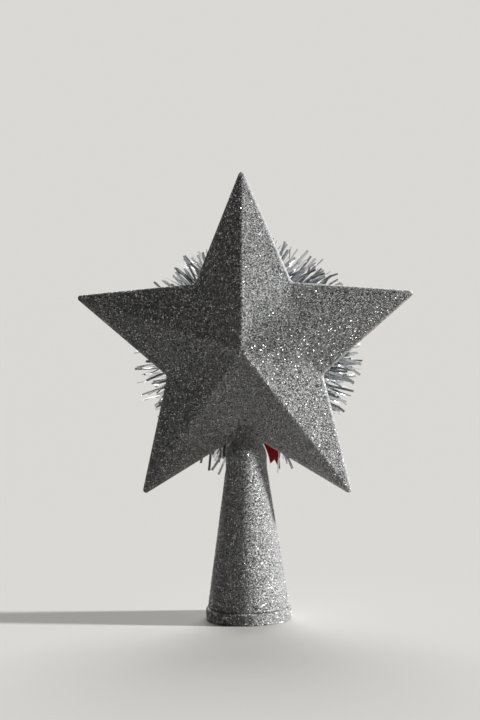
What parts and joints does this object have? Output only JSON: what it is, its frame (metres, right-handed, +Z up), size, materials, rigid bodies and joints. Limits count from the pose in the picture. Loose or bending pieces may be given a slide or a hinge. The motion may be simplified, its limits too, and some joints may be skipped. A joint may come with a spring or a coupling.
{
  "type": "doll face tree topper",
  "caption": "Glittered silver star tree topper on a tapered socket, with a doll's face, a tinsel wreath and a red ribbon bow on its decorated side.",
  "frame": {"origin": "on the axis of the tapered tree socket, in the plane that its foot stands on", "axes": "+Z up along the socket's axis; the star's plain side faces -Y and the doll's face looks along +Y"},
  "size_m": [0.1654, 0.0519, 0.2198],
  "materials": {
    "glitter_plastic": "moulded polystyrene coated all over with silver glitter in clear lacquer",
    "laminated_card": "silver laminated card, satin",
    "tinsel_film": "metallised polyester film, mirror bright",
    "tie_wire": "drawn soft steel wire",
    "doll_skin": "moulded vinyl, satin, with painted lips, cheeks and brows",
    "doll_eye": "polished acrylic with a painted iris",
    "mohair": "set curls of doll's hair",
    "satin_ribbon": "woven polyester satin"
  },
  "bodies": {
    "root": {"cone_socket": "glitter_plastic", "foot_band": "glitter_plastic", "rear_star_shell": "glitter_plastic", "front_star_shell": "glitter_plastic", "backing_disc": "laminated_card", "tinsel_upper_right": "tinsel_film", "tinsel_upper_left": "tinsel_film", "tinsel_lower_left": "tinsel_film", "tinsel_lower_right": "tinsel_film", "wire_tie_1": "tie_wire", "wire_tie_2": "tie_wire", "wire_tie_3": "tie_wire", "wire_tie_4": "tie_wire", "face_mask": "doll_skin", "eye_right": "doll_eye", "eye_left": "doll_eye", "doll_hair": "mohair", "bow_knot": "satin_ribbon", "bow_loop_right": "satin_ribbon", "bow_loop_left": "satin_ribbon", "bow_tail_right": "satin_ribbon", "bow_tail_left": "satin_ribbon"}
  },
  "joints": []
}
